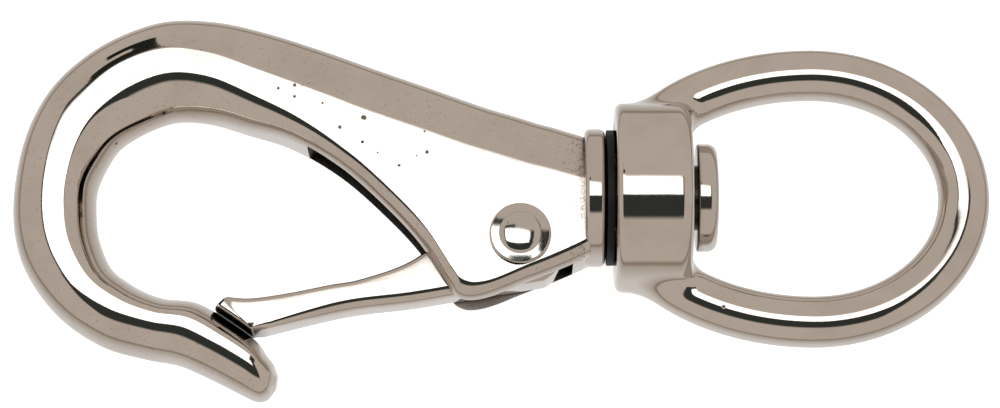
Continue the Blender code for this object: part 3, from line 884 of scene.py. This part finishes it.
def distanceToHub(points, back, front, radius, roundOff):
    # Distance to a round-edged cylinder along X, and its gradient.
    middle = (back + front) / 2
    along = points[:, 0] - middle
    out = np.hypot(points[:, 1], points[:, 2])
    dx = np.abs(along) - ((front - back) / 2 - roundOff)
    dr = out - (radius - roundOff)
    outside = np.hypot(np.maximum(dx, 0), np.maximum(dr, 0))
    distance = outside + np.minimum(np.maximum(dx, dr), 0) - roundOff
    gx = np.where((dx > 0) & (dr > 0), dx / np.maximum(outside, 1e-12), (dx > dr).astype(float))
    gr = np.where((dx > 0) & (dr > 0), dr / np.maximum(outside, 1e-12), (dr >= dx).astype(float))
    radial = points[:, 1:] / np.maximum(out, 1e-12)[:, None]
    gradient = np.column_stack([gx * np.sign(along), gr * radial[:, 0], gr * radial[:, 1]])
    return distance, gradient


def makeEye(mat):
    # Bar and hub are joined, and the skin is then eased onto a smooth blend of the two.
    path = eyePath(eye["barRings"])
    body = sweepBar("cast_eye", path, eye["barRadius"] * mm, eye["barSides"], mat)
    hubFront = hubBack + eye["hubLength"] * mm
    hubRadius = eyeHigh.z
    roundOff = eye["hubRound"] * mm
    profile = [(hubBack, 0.0)]
    faceStart = eye["faceStart"] * mm
    profile += splitRun((hubBack, faceStart), (hubBack, hubRadius - roundOff), eye["backStep"] * mm)
    profile += arcPoints(hubBack + roundOff, hubRadius - roundOff, roundOff, 180, 90, 8)[1:]
    frontRound = eye["hubFrontRound"] * mm
    profile += splitRun(profile[-1], (hubFront - frontRound, hubRadius), eye["sideStep"] * mm)
    profile += arcPoints(hubFront - frontRound, hubRadius - frontRound, frontRound, 90, 0, 12)[1:]
    profile += splitRun(profile[-1], (hubFront, faceStart), eye["frontStep"] * mm)
    profile += [(hubFront, 0.0)]
    addBoolean(body, turnProfile("hubShape", profile, eye["hubSteps"], mat), "UNION")
    freeze(body, 180)
    mesh = body.data
    count = len(mesh.vertices)
    points = np.empty(count * 3)
    mesh.vertices.foreach_get("co", points)
    points = points.reshape(-1, 3)
    line = np.array([tuple(p) for p in path])[::3]
    blend = eye["fillet"] * mm

    def blended(where):
        # Distance to the blend of bar and hub, and the way off it.
        toBar, barAway = distanceToPath(where, line)
        toBar = toBar - eye["barRadius"] * mm
        ahead = where[:, 0] > (hubBack + hubFront) / 2
        edges = np.where(ahead, frontRound, roundOff)
        toHub, hubAway = distanceToHub(where, hubBack, hubFront, hubRadius, edges)
        share = np.clip(0.5 + 0.5 * (toHub - toBar) / blend, 0, 1)
        distance = toHub * (1 - share) + toBar * share - blend * share * (1 - share)
        gradient = hubAway * (1 - share)[:, None] + barAway * share[:, None]
        gradient /= np.maximum(np.linalg.norm(gradient, axis=1), 1e-12)[:, None]
        return distance, gradient

    for step in range(6):
        distance, gradient = blended(points)
        points -= gradient * distance[:, None]
    mesh.vertices.foreach_set("co", points.ravel())
    mesh.update()
    bore = drillProfile(hubBack - mm, hubFront + mm, eye["bore"])
    addBoolean(body, turnProfile("boreShape", bore, 96, mat), "DIFFERENCE")
    return freeze(body, 35)


pin = {                        # mm
    "journal": 3.0,            # radius, as are the next two
    "tenon": 1.7,
    "tailRadius": 2.3,
    "shoulderGap": 0.12,       # journal's end to the collar
    "tailGap": 0.15,           # peened tail to the wall of the cavity
    "headThickness": 2.1,
    "headRound": 0.85,
    "headBackRound": 0.2,
    "crown": 0.22,             # how far the head's face bulges
    "crownSteps": 8,
    "tailSteps": 9,
}


def makePin(mat, journalShadeMat):
    # Turned in one: head, journal and tenon, with a tail peened over inside the cavity.
    headEnd = pinHigh.x
    headBack = headEnd - pin["headThickness"] * mm
    headRadius = pinHigh.y
    roundOff = pin["headRound"] * mm
    crown = pin["crown"] * mm
    backRound = pin["headBackRound"] * mm
    shoulder = collarFront + pin["shoulderGap"] * mm
    tailFront = cavityEnd - pin["tailGap"] * mm
    tailBack = pinLow.x
    profile = [(headEnd, 0.0)]
    flatRadius = headRadius - roundOff
    steps = pin["crownSteps"]
    profile += [(headEnd - crown * (k / steps) ** 2, flatRadius * k / steps) for k in range(1, steps)]
    profile += arcPoints(headEnd - crown - roundOff, flatRadius, roundOff, 0, 90, 10)
    profile += arcPoints(headBack + backRound, headRadius - backRound, backRound, 90, 180, 4)
    profile += [(headBack, pin["journal"] * mm), (shoulder, pin["journal"] * mm),
                (shoulder, pin["tenon"] * mm), (tailFront, pin["tenon"] * mm)]
    tail = pin["tailRadius"] * mm
    steps = pin["tailSteps"]
    for k in range(steps + 1):
        a = math.radians(90 * k / steps)
        profile.append((tailFront - (tailFront - tailBack) * math.sin(a),
                        tail * math.cos(a) if k < steps else 0.0))
    body = freeze(turnProfile("headed_pin", profile, 128, mat), 35)
    body.data.materials.append(journalShadeMat)
    # Behind the head the pin takes the dark finish: painted shade in the crevice against the hub.
    for face in body.data.polygons:
        if face.center.x < headBack - 0.01 * mm:
            face.material_index = 1
    return body


washer = {                     # mm
    "bore": 3.15,              # radius
    "edgeRound": 0.08,
}


def makeWasher(mat):
    inner = washer["bore"] * mm
    outer = washerHigh.y
    edge = washer["edgeRound"] * mm
    profile = [(washerHigh.x, inner)]
    profile += arcPoints(washerHigh.x - edge, outer - edge, edge, 0, 90, 3)
    profile += arcPoints(washerLow.x + edge, outer - edge, edge, 90, 180, 3)
    profile += [(washerLow.x, inner)]
    return freeze(turnProfile("acetal_washer", profile, 128, mat), 35)


webFace = 4.1                  # mm from the middle of the hook to the flat of its web
hookPits = (                   # x, y and radius in mm of the gas pits that show in the flat web
    (-41.5, 6.7, 0.21), (-47.9, 9.8, 0.15), (-47.9, 8.7, 0.13), (-49.4, 9.5, 0.13), (-43.7, 5.8, 0.15),
    (-41.6, 4.4, 0.13), (-38.2, 2.2, 0.12), (-35.9, 5.4, 0.09), (-45.3, 8.1, 0.10), (-31.4, 6.2, 0.08),
    (-40.2, 3.4, 0.08), (-36.6, 3.1, 0.07),
)
hookFinish = makeCastStainless("castStainlessHook", castStainless, 0.03, hookPits)
# Dark finishes whose colour is painted shade, for the cavity, the pin's journal and the gate's end.
cavityShadeFinish = makeShadedRoughCast("roughCastCavityShade", "#4a4943")
journalShadeFinish = makeShadedRoughCast("journalCreviceShade", "#55524c")
# On the gate the painted shade in the crevices spreads further into open places.
gateFinish = makeCastStainless("castStainlessGate", {**castStainless, "creviceEdge": 0.86}, 0.12)
eyeFinish = makeCastStainless("castStainlessEye", castStainless, 0.06)
pinFinish = makeTurnedStainless("turnedStainlessPin", "X", (0, 0, 0), 0.22)
rivetFinish = makeTurnedStainless("turnedStainlessRivet", "Z", (pivot.x, pivot.y, 0), 0.2)
print("finishes made")

hookPiece = makeHook(hookFinish, cavityShadeFinish)
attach(hookPiece, "hook")
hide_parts("hook_body")
print("hook made:", len(hookPiece.data.polygons), "faces")

gatePiece = makeGate(gateFinish, journalShadeFinish)
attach(gatePiece, "gate")
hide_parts("gate")
print("gate made:", len(gatePiece.data.polygons), "faces")

rivetPiece = makeRivet(rivetFinish)
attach(rivetPiece, "hook")
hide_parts("gate_rivet")

springPiece, springRise = makeSpring(makeSpringWire())
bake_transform(springPiece)
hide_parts("gate_spring")
print("rivet and spring made")

eyePiece = makeEye(eyeFinish)
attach(eyePiece, "eye")
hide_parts("swivel_eye")
print("eye made:", len(eyePiece.data.polygons), "faces")

pinPiece = makePin(pinFinish, journalShadeFinish)
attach(pinPiece, "hook")
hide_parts("swivel_pin")

washerPiece = makeWasher(makeBlackAcetal())
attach(washerPiece, "hook")
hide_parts("thrust_washer")
print("pin and washer made")


studio = {                     # mm, unless a note says otherwise
    "tilt": 12.0,              # degrees that the camera leans towards the gate's side
    "distance": 330.0,
    "lens": 128.0,
    "aim": (-0.14, -0.57),     # from the middle of the object's box
    "floorSize": 3000.0,
    "floorGap": 0.1,
    "floorGlow": 0.72,         # the paper is lit from below as well, so shadows stay faint
    "floorLamp": 11.0,         # watts
    "lampSize": 1600.0,
    "lampPlace": (0.0, 200.0, 1500.0),
    "flagDistance": 120.0,
    "flagReach": 1.12,         # how far off the card still shows, as a share of its distance
    "flagPlace": (12.0, -5.0), # from the corner of the object's box to the bow that it stands by
    "flagLift": 4.0,
    "flagParts": (((104, 113), (23, 66)), ((113, 122), (51, 66)), ((113, 129), (23, 40))),  # degrees
    "flagSteps": 4,
}

# The room round the object. Angles are in degrees from straight up, across and then along the room: from,
# to, and how soft each of the two edges is.
room = {
    "box": ((-28, 15, 1, 1), (-7.5, 60, 1, 1)),
    "boxTop": (-60, 14.5, 1, 5),
    "boxLight": 2.4,
    "frameBelow": ((-34, 26, 1.5, 1.5), (-36, -7, 7, 1.5)),
    "frameLeft": ((-32, -26, 1, 2), (-10, 19, 2, 3)),
    "frameRight": ((15, 24, 1.5, 3), (-10, 14, 2, 3)),
    "frameTop": ((-31, -7, 1, 4), (8, 21, 1, 2)),
    "slant": 0.16,             # how far the box's top edge and the skirting lean
    "wall": "#cfc5bc",
    "lowWall": "#c3bbb3",
    "frame": "#383c39",
    "skirting": "#a09386",
    "table": "#e9e7e6",
    "beyond": 0.96,            # what is seen past the paper
}


def makeCamera():
    data = bpy.data.cameras.new("studioCamera")
    data.lens = studio["lens"]
    data.sensor_width = 36.0
    data.clip_start = 0.01
    data.clip_end = 20.0
    camera = bpy.data.objects.new("studioCamera", data)
    bpy.context.scene.collection.objects.link(camera)
    tilt = math.radians(studio["tilt"])
    middle = (cadLow + cadHigh) / 2
    aim = Vector((middle.x + studio["aim"][0] * mm, studio["aim"][1] * mm, 0))
    away = Vector((0, -math.sin(tilt), math.cos(tilt)))
    camera.location = aim + away * studio["distance"] * mm
    camera.rotation_euler = (tilt, 0, 0)
    bpy.context.scene.camera = camera


def makeFloor():
    half = studio["floorSize"] * mm / 2
    z = cadLow.z - studio["floorGap"] * mm
    corners = [(-half, -half, z), (half, -half, z), (half, half, z), (-half, half, z)]
    paper = startMaterial("whitePaperSweep", {
        "Base Color": hexToLinear("#f4f4f3"), "Roughness": 0.9, "Specular IOR Level": 0.0,
        "Emission Color": (1.0, 1.0, 1.0, 1.0), "Emission Strength": studio["floorGlow"]})[0]
    floor = meshObject("paperFloor", corners, [(0, 1, 2, 3)], paper)
    floor.visible_glossy = False


def softBox(tree, value, low, high, softLow, softHigh):
    # 1 between two angles, with a soft edge on either side.
    rise = addNode(tree, "ShaderNodeMapRange", {"Value": value, "From Min": low - softLow / 2,
                                                "From Max": low + softLow / 2},
                   interpolation_type="SMOOTHSTEP")
    fall = addNode(tree, "ShaderNodeMapRange", {"Value": value, "From Min": high - softHigh / 2,
                                                "From Max": high + softHigh / 2, "To Min": 1.0,
                                                "To Max": 0.0}, interpolation_type="SMOOTHSTEP")
    return addNode(tree, "ShaderNodeMath", {0: rise.outputs[0], 1: fall.outputs[0]},
                   operation="MULTIPLY").outputs[0]


def makeRoom():
    # A room of warm grey walls with one soft box overhead, its dark frame, and a dark skirting.
    world = bpy.data.worlds.new("studioRoom")
    bpy.context.scene.world = world
    world.use_nodes = True
    tree = world.node_tree
    way = addNode(tree, "ShaderNodeTexCoord").outputs["Generated"]
    part = addNode(tree, "ShaderNodeSeparateXYZ", {"Vector": way})

    def angle(socket):
        turn = addNode(tree, "ShaderNodeMath", {0: part.outputs[socket], 1: part.outputs["Z"]},
                       operation="ARCTAN2")
        return addNode(tree, "ShaderNodeMath", {0: turn.outputs[0], 1: 180 / math.pi},
                       operation="MULTIPLY").outputs[0]

    def both(a, b):
        return addNode(tree, "ShaderNodeMath", {0: a, 1: b}, operation="MULTIPLY").outputs[0]

    def region(name, height):
        across, up = room[name]
        return both(softBox(tree, acrossAngle, *across), softBox(tree, height, *up))

    acrossAngle = angle("X")
    upAngle = angle("Y")
    slant = addNode(tree, "ShaderNodeMath", {0: acrossAngle, 1: room["slant"], 2: upAngle},
                    operation="MULTIPLY_ADD").outputs[0]
    frameColour = hexToLinear(room["frame"])
    light = (room["boxLight"], room["boxLight"], room["boxLight"], 1.0)
    lean = addNode(tree, "ShaderNodeMath", {0: part.outputs["Y"], 1: room["slant"], 2: part.outputs["Z"]},
                   operation="MULTIPLY_ADD")
    height = addNode(tree, "ShaderNodeMapRange", {"Value": lean.outputs[0], "From Min": -1.0,
                                                  "From Max": 1.0})
    shades = addNode(tree, "ShaderNodeValToRGB", {0: height.outputs[0]})
    stops = ((0.0, "table"), (0.10, "table"), (0.30, "lowWall"), (0.335, "skirting"), (0.355, "skirting"),
             (0.39, "wall"), (1.0, "wall"))
    ramp = shades.color_ramp
    while len(ramp.elements) < len(stops):
        ramp.elements.new(0.5)
    for element, (place, name) in zip(ramp.elements, stops):
        element.position = place
        element.color = hexToLinear(room[name])
    colour = shades.outputs[0]
    layers = (
        (region("frameBelow", upAngle), frameColour),
        (region("frameLeft", upAngle), frameColour),
        (region("frameRight", upAngle), frameColour),
        (region("frameTop", slant), frameColour),
        (both(region("box", upAngle), softBox(tree, slant, *room["boxTop"])), light),
    )
    for mask, shade in layers:
        colour = addNode(tree, "ShaderNodeMix", {"Factor": mask, 6: colour, 7: shade},
                         data_type="RGBA").outputs[2]
    ray = addNode(tree, "ShaderNodeLightPath")
    plain = (room["beyond"], room["beyond"], room["beyond"], 1.0)
    seen = addNode(tree, "ShaderNodeMix", {"Factor": ray.outputs["Is Camera Ray"], 6: colour, 7: plain},
                   data_type="RGBA")
    tree.links.new(seen.outputs[2], tree.nodes["Background"].inputs["Color"])


def makeFloorLight():
    # A large soft lamp that lights the paper only, so that the metal keeps its dark lines.
    data = bpy.data.lights.new("paperLamp", "AREA")
    data.shape = "SQUARE"
    data.size = studio["lampSize"] * mm
    data.energy = studio["floorLamp"]
    lamp = bpy.data.objects.new("paperLamp", data)
    lamp.location = Vector(studio["lampPlace"]) * mm
    lamp.visible_glossy = False
    lamp.visible_camera = False
    bpy.context.scene.collection.objects.link(lamp)


def makeFlag():
    # A forked black card, close to the bow, that only mirrors see.
    mat, tree, shader = startMaterial("blackCard", {
        "Base Color": hexToLinear("#1c1e1c"), "Roughness": 1.0, "Specular IOR Level": 0.0})
    distance = studio["flagDistance"] * mm
    ray = addNode(tree, "ShaderNodeLightPath")
    close = addNode(tree, "ShaderNodeMath", {0: ray.outputs["Ray Length"], 1: distance * studio["flagReach"]},
                    operation="LESS_THAN")
    tree.links.new(close.outputs[0], shader.inputs["Alpha"])
    right, back = studio["flagPlace"]
    bow = Vector((cadLow.x + right * mm, cadHigh.y + back * mm, studio["flagLift"] * mm))
    steps = studio["flagSteps"]
    across = steps + 1
    verts = []
    faces = []
    for azimuths, polars in studio["flagParts"]:
        start = len(verts)
        for i in range(across):
            for j in range(across):
                a = math.radians(azimuths[0] + (azimuths[1] - azimuths[0]) * i / steps)
                b = math.radians(polars[0] + (polars[1] - polars[0]) * j / steps)
                way = Vector((math.sin(b) * math.cos(a), math.sin(b) * math.sin(a), math.cos(b)))
                verts.append(bow + way * distance)
        faces += [(k, k + 1, k + across + 1, k + across)
                  for k in (start + across * i + j for i in range(steps) for j in range(steps))]
    card = meshObject("blackFlag", verts, faces, mat)
    card.visible_camera = False
    card.visible_diffuse = False
    card.visible_shadow = False


makeCamera()
makeFloor()
makeFlag()
makeRoom()
makeFloorLight()
bpy.context.scene.view_settings.view_transform = "Standard"
print("studio made")
